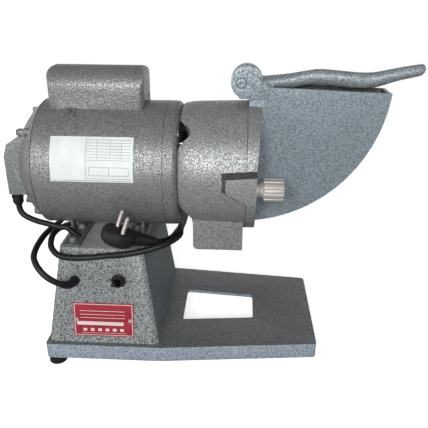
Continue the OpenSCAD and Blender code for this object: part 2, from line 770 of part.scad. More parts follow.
// Sheet disc with rows of punched holes, each with a burr standing towards the hopper
module at_punches() {
  for (row = [0 : punch_rows - 1]) {
    r = 26 + row * (disc_r - 31) / (punch_rows - 1);
    n = round(2 * PI * r / 13);
    for (i = [0 : n - 1]) rotate([(i + row / 2) * 360 / n, 0, 0]) translate([0, 0, r]) children();
  }
}
module grating_disc() {
  color("#c5c9cc") on_axis() difference() {
    union() {
      rod_x(disc_x, disc_r, disc_t);
      at_punches() rod_x(disc_front - eps, punch_r + 0.7, burr_h, $fn = 16);
    }
    rod_x(disc_x - 1, shaft_r + seat, 10);
    at_punches() rod_x(disc_x - 1, punch_r, 10, $fn = 16);
    for (a = [0 : 120 : 359]) rotate([a, 0, 0]) translate([0, 0, 17]) rod_x(disc_x - 1, 2, 20);
  }
}
module disc_screws() {
  color("#d4d7da") on_axis() for (a = [0 : 120 : 359]) rotate([a, 0, 0]) translate([disc_front, 0, 17])
    rotate([0, 90, 0]) screw(1.95, 3.6, burr_h, 7);
}

// ---- Hopper ----
// Quarter-circle box about the hinge pin, between two planes y0 and y1
module sector(r, x0, y0, y1) {
  intersection() {
    rod_y(pin_x, pin_z, r, y0, y1);
    across([[x0, pin_z - rim_drop], [pin_x + r + 2, pin_z - rim_drop - (r + 2) * tan(rim_a)],
      [pin_x + r + 2, -100], [x0, -100]], y0, y1);
  }
}

// Round flange whose face leans out above the motor axis
module flange() {
  intersection() {
    rod_x(house_l, flange_r, flange_t + flange_lean);
    across([[house_l, -80], [flange_x, -80], [flange_x, 12], [flange_x + flange_lean, flange_r], [flange_x + flange_lean, 80],
      [house_l, 80]], -80, 80);
  }
}

module ear(y0, y1) {
  rod_y(ear_x, pin_z - 0.5, ear_r, y0, y1);
  across([[ear_x + 8, pin_z + 9.5], [ear_x + 26, pin_z - 2.8], [ear_x + 26, pin_z - ear_drop],
    [pin_x - 1.5, pin_z - ear_drop], [pin_x - 7.6, pin_z - 7.6]], y0, y1);
}

module hopper() {
  color("#8b949a") on_axis() difference() {
    union() {
      flange();
      side_lug(house_l, flange_x);
      sector(hop_r, flange_x - 2, -hop_hw, hop_hw);
      ear(-ear_out, -hop_in);
      ear(hop_in, ear_out);
      // neck of the hopper down to the flange
      across([[house_l + 1, 60], [flange_x + 8, 60], [flange_x + 8, pin_z - 14], [house_l + 1, pin_z - 14]],
        neck_in - hop_hw, hop_hw - neck_in);
    }
    // inside of the sector, swept by the pusher
    intersection() {
      rod_y(pin_x, pin_z, hop_ri, -hop_in, hop_in);
      across([[flange_x - 0.01, 200], [400, 200], [400, -100], [flange_x - 0.01, -100]], -hop_in, hop_in);
    }
    intersection() {
      rod_y(pin_x, pin_z, hop_ri, -hop_in, hop_in);
      across([[house_l - 1, slot_top], [flange_x + 1, slot_top], [flange_x + 1, -100], [house_l - 1, -100]], -hop_in, hop_in);
    }
    across([[pin_x - 30, flange_r + 1.5], [flange_x + 1, flange_r + 1.5], [flange_x + 1, 200], [pin_x - 30, 200]], -hop_in, hop_in);
    // room for the grating disc
    rod_x(house_l - 1, recess_r, plate_x - house_l + 1);
    rod_y(pin_x, pin_z, pin_r + seat, -40, 40);
    for (k = [-1, 1]) translate([0, k * stud_y, knob_z]) rod_x(40, stud_r + 0.4, 60);
  }
}

module hinge_pin() {
  color("silver") on_axis() difference() {
    union() {
      rod_y(pin_x, pin_z, pin_r, -ear_out - eps, ear_out + 4);
      rod_y(pin_x, pin_z, pin_r + 1.2, -ear_out - 1.6, -ear_out);
    }
    rod_y(pin_x, pin_z, pin_r - 1, ear_out + 1.2, ear_out + 2.2);
    rod_y(pin_x, pin_z, 1.2, -ear_out - 3, -ear_out - 0.8);
  }
}
module pin_clip() {
  color("#3a3a3a") on_axis() difference() {
    rod_y(pin_x, pin_z, pin_r + 3, ear_out + seat, ear_out + 1);
    rod_y(pin_x, pin_z, pin_r + seat, ear_out - 1, ear_out + 3);
    translate([pin_x - 1.5, ear_out - 1, pin_z - 20]) cube([3, 4, 20]);
  }
}

// ---- Lever ----
function curve(p0, p1, p2, p3, t) = 0.5 * (2 * p1 + (p2 - p0) * t + (2 * p0 - 5 * p1 + 4 * p2 - p3) * t * t
  + (3 * p1 - p0 - 3 * p2 + p3) * t * t * t);
function smooth(p, n) = [for (i = [0 : len(p) - 2]) for (k = [0 : n - 1])
  curve(p[max(i - 1, 0)], p[i], p[i + 1], p[min(i + 2, len(p) - 1)], k / n), p[len(p) - 1]];

// Closed skin over a list of rings with the same number of points
module skin(rings) {
  n = len(rings[0]);
  m = len(rings);
  polyhedron(
    [for (ring = rings) for (p = ring) p],
    concat(
      [[for (j = [n - 1 : -1 : 0]) j]],
      [for (i = [0 : m - 2]) for (j = [0 : n - 1])
        [i * n + j, i * n + (j + 1) % n, (i + 1) * n + (j + 1) % n, (i + 1) * n + j]],
      [[for (j = [0 : n - 1]) (m - 1) * n + j]]
    ), convexity = 6);
}

module lever_rod() {
  sides = 24;
  tip = lever_path[len(lever_path) - 1];
  rings = concat(smooth(lever_path, 3),
    [for (a = [20 : 17 : 88]) [tip[0] + tip[2] * sin(a), tip[1] + 1.4 * sin(a), tip[2] * cos(a), tip[3] * cos(a)]]);
  translate([pin_x, 0, pin_z]) skin([for (q = rings) [for (j = [0 : sides - 1])
    [q[0], -q[3] * cos(j * 360 / sides), q[1] + q[2] * sin(j * 360 / sides)]]]);
}

module lever() {
  color("#8b949a") on_axis() difference() {
    union() {
      rod_y(hub_x, pin_z - 0.5, hub_r, -hub_hw, hub_hw);
      lever_rod();
      across([[pin_x + 6, pin_z], [blade_x + plate_t + seat + 13, pin_z], [blade_x + plate_t + seat + 7, slot_top + 2],
        [blade_x + plate_t + seat, slot_top + 2], [blade_x + plate_t + seat, pin_z - 11]], -hub_hw + 3, hub_hw - 3);
    }
    rod_y(pin_x, pin_z, pin_r + run_gap, -40, 40);
    for (z = pusher_screw_z) translate([0, 0, z]) rod_x(blade_x - 1, 1.95, 18);
  }
}

module pusher_plate() {
  color("#aeb2b4") on_axis() difference() {
    intersection() {
      union() {
        across([[blade_x, pin_z - 13], [blade_x + plate_t, pin_z - 13], [blade_x + plate_t, -70], [blade_x, -70]], -hub_hw, hub_hw);
        across([[pad_x, slot_top - 4], [blade_x + eps, slot_top - 4], [blade_x + eps, -70], [pad_x, -70]], -hub_hw, hub_hw);
      }
      rod_y(pin_x, pin_z, hop_ri - sweep_gap, -40, 40);
    }
    for (z = pusher_screw_z) translate([0, 0, z]) rod_x(blade_x - 1, 2.1, 14);
  }
}
module pusher_screws() {
  color("silver") on_axis() for (z = pusher_screw_z) translate([blade_x - seat, 0, z]) rotate([0, 90, 0])
    cylinder(r = 1.9, h = 15);
}

// ---- Thumb knobs ----
module studs() {
  color("silver") on_axis() for (k = [-1, 1]) translate([0, k * stud_y, knob_z]) rod_x(stud_x, stud_r, stud_end - stud_x);
}
module washer(k) {
  color("silver") on_axis() translate([0, k * stud_y, knob_z]) tube_x(flange_x + 0.05, 9, stud_r + run_gap, washer_t);
}
module knob(k) {
  flutes = 12;
  color("#b8aea2") on_axis() translate([0, k * stud_y, knob_z]) difference() {
    union() {
      cone_x(knob_x, 6.5, 9, neck_l);
      cone_x(knob_x + neck_l - eps, knob_r - 1.5, knob_r, 1.5);
      rod_x(knob_x + neck_l + 1.4, knob_r, knob_l - 2.8);
      cone_x(knob_x + neck_l + knob_l - 1.5, knob_r, knob_r - 1.5, 1.5);
    }
    for (i = [0 : flutes - 1]) rotate([i * 360 / flutes, 0, 0]) translate([0, 0, knob_r + 0.6])
      rod_x(knob_x + neck_l - 1, 1.8, knob_l + 2);
    rod_x(knob_x - 1, stud_r + run_gap, stud_end + 1 - knob_x + 1);
  }
}
module front_washer() { washer(-1); }
module rear_washer() { washer(1); }
module front_knob() { knob(-1); }
module rear_knob() { knob(1); }

// ---- Electrics ----
module switch_body() {
  color("#222222") on_table() on_front(switch_x, switch_z) difference() {
    union() {
      translate([-8, -14, -ped_wall - 26]) cube([16, 28, 26 - 0.1]);
      translate([0, 0, -ped_wall - 1]) cylinder(r = 5.9, h = ped_wall + 8);
      for (k = [-1, 0, 1]) translate([-2.5, k * 9 - 0.4, -ped_wall - 33]) cube([5, 0.8, 8]);
    }
    translate([0, 0, -4]) cylinder(r = 4.4, h = 20);
  }
}
module switch_nut() {
  color("#141414") on_table() on_front(switch_x, switch_z) difference() {
    union() {
      translate([0, 0, seat]) cylinder(r = nut_d / 2, h = 2.5);
      translate([0, 0, 2.4]) cylinder(r = nut_d / 2 - 1, h = 3);
    }
    translate([0, 0, -1]) cylinder(r = 5.9 + seat, h = 10);
  }
}
module switch_bat() {
  color("#0e0e0e") on_table() on_front(switch_x, switch_z) rotate([0, -bat_tilt, 0]) {
    translate([0, 0, -1]) cylinder(r1 = 1.7, r2 = 2, h = bat_l);
    translate([0, 0, bat_l]) sphere(r = 2.7, $fn = 32);
    translate([0, 0, -1]) sphere(r = 2.4, $fn = 32);
  }
}
module rating_plate() {
  color("#a81f2c") on_table() on_front(rating_x, rating_z) difference() {
    translate([-rating_l / 2, -rating_h / 2, seat]) cube([rating_l, rating_h, 0.8]);
    for (k = [-1, 1]) translate([k * (rating_l / 2 - 4), 0, -1]) cylinder(r = 1.5, h = 4);
  }
}
module plate_rivets() {
  color("silver") on_table() on_front(rating_x, rating_z) for (k = [-1, 1]) translate([k * (rating_l / 2 - 4), 0, 0.8 + seat]) {
    translate([0, 0, -5]) cylinder(r = 1.45, h = 5 + eps);
    cylinder(r = 2.3, h = 0.9);
  }
}
module cord_grommet() {
  color("#161616") on_table() on_front(hole_x, hole_z) difference() {
    union() {
      translate([0, 0, -ped_wall - 2]) cylinder(r = grommet_r, h = ped_wall + 3);
      translate([0, 0, seat]) cylinder(r = grommet_r + 1.2, h = 1.4);
    }
    translate([0, 0, -20]) cylinder(r = cord_r, h = 40);
  }
}

// ---- Cords ----
gland = [6.6 - term_back, -42, -36];
gland_r = 5;
// Centre of the motor lead: gland, under the rear end shield, through the first rail into the pedestal
lead_end = [-120.4, -48];
lead_dip = 40;
function lead_in(d) = [lead_end[0] + d * cos(lead_dip), lead_end[1], rail_z + rail_h - d * sin(lead_dip)];
lead_points = concat([
  gland + [0, 0, 2], gland + [0, 0, -4], gland + [0.6, -0.3, -10], gland + [4, -1, -16], gland + [12, -2, -20.5],
  gland + [22, -3.5, -23.5], gland + [34, -4.5, -26], gland + [44.5, -5.4, -28.6]
], [lead_in(-14), lead_in(-7), lead_in(0), lead_in(8), lead_in(15)]);
// Points on the axis of the cord hole and of the plug's outlet
function hole_out(d) = [hole_x, front_y(hole_z) - d * cos(slope), hole_z - axis_z + d * sin(slope)];
plug_at = [-61, -92, -52];
pin_pitch = 19;
plug_pin_r = 2.4;
collar_r = 2.9;
plug_nod = -8;
plug_lean = 20;
plug_turn = 30;
function plug_out(d) = plug_at + d * [
  cos(plug_turn) * cos(plug_lean),
  cos(plug_turn) * sin(plug_lean) * sin(plug_nod) + sin(plug_turn) * cos(plug_nod),
  sin(plug_turn) * sin(plug_nod) - cos(plug_turn) * sin(plug_lean) * cos(plug_nod)
];
// Centre of the supply cord: out of the grommet, twice round the neck, up to the plug
cord_points = concat([hole_out(-10), hole_out(-4), hole_out(3)], [
  [-120, -95, -112.5], [-127, -104.5, -105], [-137, -108, -96], [-146.5, -104.5, -87.5], [-154, -95, -81],
  [-157, -82, -78], [-158, -64, -76], [-158, -46, -75.5], [-157.5, -26, -77], [-156, -4, -79.5], [-156, 20, -81],
  [-156, 53, -81.5], [-152.5, 66.5, -82], [-142.5, 76.5, -82], [-129, 80, -82.5], [-103, 80, -83], [-76, 80, -83],
  [-54, 80, -83], [-30, 80, -82], [-16, 76, -81.5], [-6, 66, -81], [-2, 52, -80.5], [-2, 30, -80], [-2, 5, -78.5],
  [-2, -18, -74], [-1, -36, -69.5], [0, -51.5, -67.5], [-4, -65.5, -67], [-14, -77, -68.5], [-28, -82.5, -71.5],
  [-42, -84, -75], [-58, -85, -78], [-78, -84, -81], [-98, -85.5, -83], [-118, -86, -83.5],
  [-131.5, -83, -82], [-141.5, -74, -77.5], [-145, -62, -73.5], [-146, -51, -72], [-146, -38, -73],
  [-146, -22, -77], [-146, -4, -82], [-146, 14, -88], [-146, 32, -91.5], [-147, 54.5, -92.5], [-145, 69, -93],
  [-135.5, 79.5, -93], [-121, 82.5, -93], [-92, 82, -93.5], [-62, 82, -93.5], [-35, 82, -92.5], [-21, 78, -92],
  [-11, 68, -91.5], [-7, 54, -91], [-7, 32, -90], [-7, 8, -86.5], [-8, -15, -81.5], [-9, -34, -77.5],
  [-11.5, -49, -74.5], [-16, -60.5, -72]
], [plug_out(46), plug_out(34), plug_out(21)]);

function norm3(v) = v / norm(v);
function tube_rings(path, r, sides) = [for (i = [0 : len(path) - 1]) let (
    d = norm3(path[min(i + 1, len(path) - 1)] - path[max(i - 1, 0)]),
    side = norm3(cross(d, [0.03, 0.05, 1])),
    lift = cross(side, d))
  [for (j = [0 : sides - 1]) path[i] + r * (side * cos(j * 360 / sides) + lift * sin(j * 360 / sides))]];
module cord(points, r, n) { skin(tube_rings(smooth(points, n), r, 10)); }

module motor_lead() { color("#111111") on_axis() cord(lead_points, cord_r - seat, 2); }
module supply_cord() { color("#111111") on_axis() cord(cord_points, cord_r - seat, 1); }

module at_plug() { translate(plug_at) rotate([plug_nod, 0, 0]) rotate([0, plug_lean, 0]) rotate([0, 0, plug_turn]) children(); }
module plug_body() {
  color("#171717") on_axis() at_plug() difference() {
    union() {
      rotate_extrude() polygon([[0, -8], [plug_d / 2 - 3, -8], [plug_d / 2 - 1, -6], [plug_d / 2, -2], [plug_d / 2, 4],
        [plug_d / 2 - 2, 7], [0, 7]]);
      rod_x(plug_d / 2 - 4, 7, 12);
      cone_x(plug_d / 2 + 8, 6.5, 4.6, 16);
    }
    rod_x(plug_d / 2 + 2, cord_r, 40);
    for (k = [-1, 1]) translate([0, pin_pitch / 2 * k, -4]) cylinder(r = collar_r + seat, h = 20);
  }
}
module plug_pins() {
  color("#cfcac0") on_axis() at_plug() for (k = [-1, 1]) translate([0, pin_pitch / 2 * k, 0]) {
    translate([0, 0, -4 + seat]) cylinder(r = collar_r, h = 11 - seat);
    translate([0, 0, 6]) cylinder(r = plug_pin_r, h = 18);
    translate([0, 0, 24]) sphere(r = plug_pin_r, $fn = 32);
  }
}

base_casting();
rubber_feet();
foot_screws();
motor_cradle();
cradle_bolts();
motor_shell();
stator_core();
windings();
front_end_shield();
rear_end_shield();
through_bolts();
front_bearing();
rear_bearing();
motor_shaft();
rotor_core();
cooling_fan();
start_switch();
terminal_cover();
terminal_screws();
cable_gland();
capacitor_cover();
capacitor();
capacitor_screws();
motor_label();
shaft_seal();
grater_housing();
housing_bolts();
disc_hub();
grating_disc();
disc_screws();
hopper();
hinge_pin();
pin_clip();
lever();
pusher_plate();
pusher_screws();
studs();
front_washer();
front_knob();
rear_washer();
rear_knob();
switch_body();
switch_nut();
switch_bat();
rating_plate();
plate_rivets();
cord_grommet();
motor_lead();
supply_cord();
plug_body();
plug_pins();
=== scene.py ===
import json
import math

import bpy
import bmesh
from mathutils import Matrix, Vector

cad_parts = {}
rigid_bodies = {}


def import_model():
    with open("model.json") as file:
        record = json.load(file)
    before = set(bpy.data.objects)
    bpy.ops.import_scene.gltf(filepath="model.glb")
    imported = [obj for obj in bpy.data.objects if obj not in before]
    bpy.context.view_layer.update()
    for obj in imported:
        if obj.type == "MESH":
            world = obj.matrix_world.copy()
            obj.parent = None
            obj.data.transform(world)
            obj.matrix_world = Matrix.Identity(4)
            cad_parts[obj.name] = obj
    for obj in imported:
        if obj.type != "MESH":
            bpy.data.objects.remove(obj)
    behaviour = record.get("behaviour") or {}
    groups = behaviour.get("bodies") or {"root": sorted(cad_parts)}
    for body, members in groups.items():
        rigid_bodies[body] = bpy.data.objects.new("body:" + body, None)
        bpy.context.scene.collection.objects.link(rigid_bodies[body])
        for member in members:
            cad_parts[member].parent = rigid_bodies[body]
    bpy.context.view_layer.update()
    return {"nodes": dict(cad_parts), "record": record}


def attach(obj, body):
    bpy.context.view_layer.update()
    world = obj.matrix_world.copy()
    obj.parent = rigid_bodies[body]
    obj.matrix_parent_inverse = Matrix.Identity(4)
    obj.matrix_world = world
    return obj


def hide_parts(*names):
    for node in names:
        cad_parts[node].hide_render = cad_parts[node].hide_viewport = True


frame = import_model()

# Sizes in metres: the middle of the box from the motor's drive face, the motor's axis over the table
MID = 0.03435
AXIS_Z = 0.2245
SHELL_R = 0.0715
CORD_R = 0.0034

# The pedestal's front, in millimetres: how far out and how high its foot and its head are
FOOT_OUT, FOOT_UP = 88, 31
HEAD_OUT, HEAD_UP = 75, 147.5
LEAN = math.atan((FOOT_OUT - HEAD_OUT) / (HEAD_UP - FOOT_UP))


def on_axis(x, y, z):
    """A point given from the drive face of the motor, on the motor's axis."""
    return Vector((x / 1000 - MID, y / 1000, z / 1000 + AXIS_Z))


def on_table(x, y, z):
    """A point given from the drive face of the motor, over the table."""
    return Vector((x / 1000 - MID, y / 1000, z / 1000))


def pedestal_front(x, z):
    """A point on the sloping front of the pedestal."""
    return on_table(x, -HEAD_OUT - (HEAD_UP - z) * math.tan(LEAN), z)


# ---- Camera ----
CAMERA_AT = (0.02905, -0.5906, 0.41675)
YAW, PITCH, ROLL = -0.0467, 0.4092, 0.0077
SENSOR = 36
FOCAL_PIXELS, FRAME_PIXELS = 530.24, 428


def add_camera():
    level = math.cos(PITCH)
    forward = Vector((math.sin(YAW) * level, math.cos(YAW) * level, -math.sin(PITCH)))
    right = Vector((math.cos(YAW), -math.sin(YAW), 0))
    up = right.cross(forward)
    right_r = math.cos(ROLL) * right + math.sin(ROLL) * up
    up_r = -math.sin(ROLL) * right + math.cos(ROLL) * up
    bpy.ops.object.camera_add()
    camera = bpy.context.object
    camera.name = "camera"
    turn = Matrix((right_r, up_r, -forward)).transposed().to_4x4()
    camera.matrix_world = Matrix.Translation(CAMERA_AT) @ turn
    camera.data.sensor_fit = "HORIZONTAL"
    camera.data.sensor_width = SENSOR
    camera.data.lens = SENSOR * FOCAL_PIXELS / FRAME_PIXELS
    camera.data.clip_start = 0.01
    bpy.context.scene.camera = camera


# ---- Making and finishing pieces ----
SLOTS = {part["node"]: part["material_slot"] for part in frame["record"]["subparts"]}
# Edges sharper than the first angle are rounded, flatter than the second are shaded smooth, in degrees
ROUNDED_ABOVE, SMOOTH_BELOW = 32, 40


def pick(obj):
    bpy.ops.object.select_all(action="DESELECT")
    obj.select_set(True)
    bpy.context.view_layer.objects.active = obj


def settle(obj):
    """Puts a piece's place into its mesh."""
    pick(obj)
    bpy.ops.object.transform_apply(location=True, rotation=True, scale=True)


def finish_piece(obj, material, body, angle=35):
    """Gives a piece its finish, its smooth shading and the body that it rides on."""
    pick(obj)
    obj.data.materials.clear()
    obj.data.materials.append(material)
    bpy.ops.object.shade_smooth_by_angle(angle=math.radians(angle))
    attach(obj, body)
    return obj


def body_of_node(node):
    for body, nodes in frame["record"]["behaviour"]["bodies"].items():
        if node in nodes:
            return body


def merged_copy(node, name):
    """A copy of a solid's mesh with its corners joined and its flat faces whole."""
    pick(frame["nodes"][node])
    bpy.ops.object.duplicate()
    piece = bpy.context.object
    piece.name = name
    bpy.ops.object.parent_clear(type="CLEAR_KEEP_TRANSFORM")
    settle(piece)
    bpy.ops.object.mode_set(mode="EDIT")
    bpy.ops.mesh.select_all(action="SELECT")
    bpy.ops.mesh.remove_doubles(threshold=0.00001)
    bpy.ops.mesh.customdata_custom_splitnormals_clear()
    bpy.ops.mesh.dissolve_limited(angle_limit=math.radians(0.5))
    bpy.ops.object.mode_set(mode="OBJECT")
    return piece


def soften(node, material, radius, segments=3):
    """A solid with its edges rounded, shown in the solid's place."""
    piece = merged_copy(node, node + "_finished")
    edge = piece.modifiers.new("rounded_edges", "BEVEL")
    edge.width = radius
    edge.segments = segments
    edge.limit_method = "ANGLE"
    edge.angle_limit = math.radians(ROUNDED_ABOVE)
    edge.use_clamp_overlap = True
    pick(piece)
    bpy.ops.object.modifier_apply(modifier=edge.name)
    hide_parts(node)
    return finish_piece(piece, material, body_of_node(node), SMOOTH_BELOW)


def repaint(piece, material, chosen):
    """Gives the faces of a piece that a rule chooses a second finish."""
    piece.data.materials.append(material)
    for face in piece.data.polygons:
        if chosen(face.normal, [piece.data.vertices[k].co for k in face.vertices]):
            face.material_index = len(piece.data.materials) - 1


def paint(node, material):
    """A solid kept as it is, with its finish."""
    obj = frame["nodes"][node]
    obj.data.materials.clear()
    obj.data.materials.append(material)



# ---- Cords ----
def smooth_path(points, steps):
    """Points along a smooth curve through the given ones."""
    ends = [2 * points[0] - points[1]] + list(points) + [2 * points[-1] - points[-2]]
    path = []
    for i in range(1, len(ends) - 2):
        a, b, c, d = ends[i - 1], ends[i], ends[i + 1], ends[i + 2]
        for k in range(steps):
            t = k / steps
            path.append(0.5 * (2 * b + (c - a) * t + (2 * a - 5 * b + 4 * c - d) * t * t
                               + (3 * b - a - 3 * c + d) * t * t * t))
    return path + [points[-1]]


def run_cord(name, path, radius, material, body):
    """A round cord as one open curve."""
    bpy.ops.object.select_all(action="DESELECT")
    curve = bpy.data.curves.new(name, "CURVE")
    curve.dimensions = "3D"
    spline = curve.splines.new("POLY")
    spline.points.add(len(path) - 1)
    for point, place in zip(spline.points, path):
        point.co = (*place, 1)
    spline.use_smooth = True
    curve.bevel_depth = radius
    curve.bevel_resolution = 5
    curve.use_fill_caps = True
    cord = bpy.data.objects.new(name, curve)
    bpy.context.collection.objects.link(cord)
    curve.materials.append(material)
    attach(cord, body)
    return cord


def run_sleeve(name, path, radii, material, body):
    """A moulded sleeve along a cord, its radius given at each point."""
    sleeve = run_cord(name, path, 1.0, material, body)
    for point, radius in zip(sleeve.data.splines[0].points, radii):
        point.radius = radius
    return sleeve


def stretch_of(path, start, length, count):
    """Evenly spaced points on a path, from one length along it."""
    marks, at, done = [start + length * k / (count - 1) for k in range(count)], [], 0.0
    for a, b in zip(path, path[1:]):
        step = (b - a).length
        while marks and done + step >= marks[0]:
            at.append(a.lerp(b, (marks.pop(0) - done) / step))
        done += step
    return at


# Where the plug lies on the turns of its cord, and how it is turned
PLUG_AT = (-61, -92, -52)
PLUG_TURN = (Matrix.Rotation(math.radians(-8), 3, "X") @ Matrix.Rotation(math.radians(20), 3, "Y")
             @ Matrix.Rotation(math.radians(30), 3, "Z"))


def at_plug(x, y, z):
    return on_axis(*PLUG_AT) + PLUG_TURN @ Vector((x, y, z)) / 1000


def out_of_hole(d):
    at = pedestal_front(-117.4, 108.8)
    return at + Vector((0, -d * math.cos(LEAN), d * math.sin(LEAN))) / 1000


# Middle lines of the two cords, in millimetres from the drive face and the motor's axis
SUPPLY_ROUTE = [
    (-120, -95, -112.5), (-127, -104.5, -105), (-137, -108, -96), (-146.5, -104.5, -87.5),
    (-154, -95, -81), (-157, -82, -78), (-158, -64, -76), (-158, -46, -75.5), (-157.5, -26, -77),
    (-156, -4, -79.5), (-156, 20, -81), (-156, 53, -81.5), (-152.5, 66.5, -82), (-142.5, 76.5, -82),
    (-129, 80, -82.5), (-103, 80, -83), (-76, 80, -83), (-54, 80, -83), (-30, 80, -82),
    (-16, 76, -81.5), (-6, 66, -81), (-2, 52, -80.5), (-2, 30, -80), (-2, 5, -78.5), (-2, -18, -74),
    (-1, -36, -69.5), (0, -51.5, -67.5), (-4, -65.5, -67), (-14, -77, -68.5), (-28, -82.5, -71.5),
    (-42, -84, -75), (-58, -85, -78), (-78, -84, -81), (-98, -85.5, -83), (-118, -86, -83.5),
    (-131.5, -83, -82), (-141.5, -74, -77.5), (-145, -62, -73.5), (-146, -51, -72),
    (-146, -38, -73), (-146, -22, -77), (-146, -4, -82), (-146, 14, -88), (-146, 32, -91.5),
    (-147, 54.5, -92.5), (-145, 69, -93), (-135.5, 79.5, -93), (-121, 82.5, -93), (-92, 82, -93.5),
    (-62, 82, -93.5), (-35, 82, -92.5), (-21, 78, -92), (-11, 68, -91.5), (-7, 54, -91),
    (-7, 32, -90), (-7, 8, -86.5), (-8, -15, -81.5), (-9, -34, -77.5), (-11.5, -49, -74.5),
    (-16, -60.5, -72)]
LEAD_ROUTE = [
    (-185.4, -42, -34), (-185.4, -42, -40), (-184.8, -42.3, -46), (-181.4, -43, -52),
    (-173.4, -44, -56.5), (-163.4, -45.5, -59.5), (-151.4, -46.5, -62), (-140.9, -47.4, -64.6),
    (-131.1, -48, -65), (-125.8, -48, -69.5), (-120.4, -48, -74), (-114.3, -48, -79.1),
    (-108.9, -48, -83.6)]


# ---- Finishes ----
def new_finish(name, metallic=0.0, roughness=0.5, colour=(0.5, 0.5, 0.5)):
    material = bpy.data.materials.new(name)
    material.use_nodes = True
    shader = material.node_tree.nodes["Principled BSDF"]
    shader.inputs["Base Color"].default_value = (*colour, 1)
    shader.inputs["Metallic"].default_value = metallic
    shader.inputs["Roughness"].default_value = roughness
    return material, shader


def add_node(material, kind, **values):
    node = material.node_tree.nodes.new(kind)
    for key, value in values.items():
        if key in node.inputs:
            node.inputs[key].default_value = value
        else:
            setattr(node, key, value)
    return node


def join(material, source, target):
    material.node_tree.links.new(source, target)


def object_place(material):
    return add_node(material, "ShaderNodeTexCoord").outputs["Object"]


def ramp(material, fac, stops):
    """Colours laid out along a value, as places and colours."""
    node = add_node(material, "ShaderNodeValToRGB")
    while len(node.color_ramp.elements) < len(stops):
        node.color_ramp.elements.new(0.5)
    for element, (place, colour) in zip(node.color_ramp.elements, stops):
        element.position = place
        element.color = (*colour, 1)
    join(material, fac, node.inputs["Fac"])
    return node.outputs["Color"]


def noise(material, scale, detail=2.0, roughness=0.5, distortion=0.0):
    node = add_node(material, "ShaderNodeTexNoise", Scale=scale, Detail=detail, Roughness=roughness,
                    Distortion=distortion)
    join(material, object_place(material), node.inputs["Vector"])
    return node.outputs["Fac"]


def bump(material, shader, height, strength, distance):
    node = add_node(material, "ShaderNodeBump", Strength=strength, Distance=distance)
    join(material, height, node.inputs["Height"])
    join(material, node.outputs["Normal"], shader.inputs["Normal"])


def mix_colours(material, fac, a, b, blend="MIX"):
    node = add_node(material, "ShaderNodeMix", data_type="RGBA", blend_type=blend)
    if isinstance(fac, float):
        node.inputs[0].default_value = fac
    else:
        join(material, fac, node.inputs[0])
    for value, socket in ((a, node.inputs[6]), (b, node.inputs[7])):
        if isinstance(value, tuple):
            socket.default_value = (*value, 1)
        else:
            join(material, value, socket)
    return node.outputs[2]


def hammered_paint(name, colour, contrast=0.26, grain=0.0017):
    """Hammered enamel: fine silvery grains between darker veins, with a dimpled skin."""
    material, shader = new_finish(name, metallic=0.25, roughness=0.36)
    shader.inputs["Specular IOR Level"].default_value = 0.5
    grains = noise(material, 1 / grain, detail=2, roughness=0.6, distortion=0.35)
    dark = tuple(c * (1 - 1.3 * contrast) for c in colour)
    light = tuple(c * (1 + 1.2 * contrast) for c in colour)
    grain_colour = ramp(material, grains, [(0.42, dark), (0.5, colour), (0.59, light)])
    tone = noise(material, 12, detail=3)
    tone_colour = ramp(material, tone, [(0.3, (0.92, 0.92, 0.915)), (0.7, (1.05, 1.05, 1.055))])
    both = mix_colours(material, 1.0, grain_colour, tone_colour, "MULTIPLY")
    join(material, both, shader.inputs["Base Color"])
    gloss = ramp(material, grains, [(0.35, (0.5,) * 3), (0.66, (0.24,) * 3)])
    join(material, gloss, shader.inputs["Roughness"])
    bump(material, shader, grains, 0.9, 0.0006)
    return material


def worn_metal(name, colour, roughness=0.3, grain=900, metallic=1.0):
    """Plain metal with fine scratches and a little unevenness."""
    material, shader = new_finish(name, metallic=metallic, roughness=roughness)
    fine = noise(material, grain, detail=4, roughness=0.7)
    shade = tuple(c * 0.78 for c in colour)
    join(material, ramp(material, fine, [(0.3, shade), (0.7, colour)]), shader.inputs["Base Color"])
    gloss = ramp(material, fine, [(0.3, (roughness + 0.12,) * 3), (0.7, (roughness - 0.08,) * 3)])
    join(material, gloss, shader.inputs["Roughness"])
    bump(material, shader, fine, 0.08, 0.0003)
    return material


def moulded(name, colour, roughness, grain=1500, depth=0.15):
    """Moulded rubber or plastic with a fine grain."""
    material, shader = new_finish(name, roughness=roughness)
    fine = noise(material, grain, detail=3, roughness=0.6)
    dust = noise(material, 60, detail=3)
    lighter = tuple(c * 1.12 + 0.002 for c in colour)
    shader.inputs["Specular IOR Level"].default_value = 0.3
    join(material, ramp(material, dust, [(0.4, colour), (0.75, lighter)]), shader.inputs["Base Color"])
    gloss = ramp(material, fine, [(0.3, (roughness + 0.1,) * 3), (0.7, (roughness - 0.05,) * 3)])
    join(material, gloss, shader.inputs["Roughness"])
    bump(material, shader, fine, depth, 0.0002)
    return material


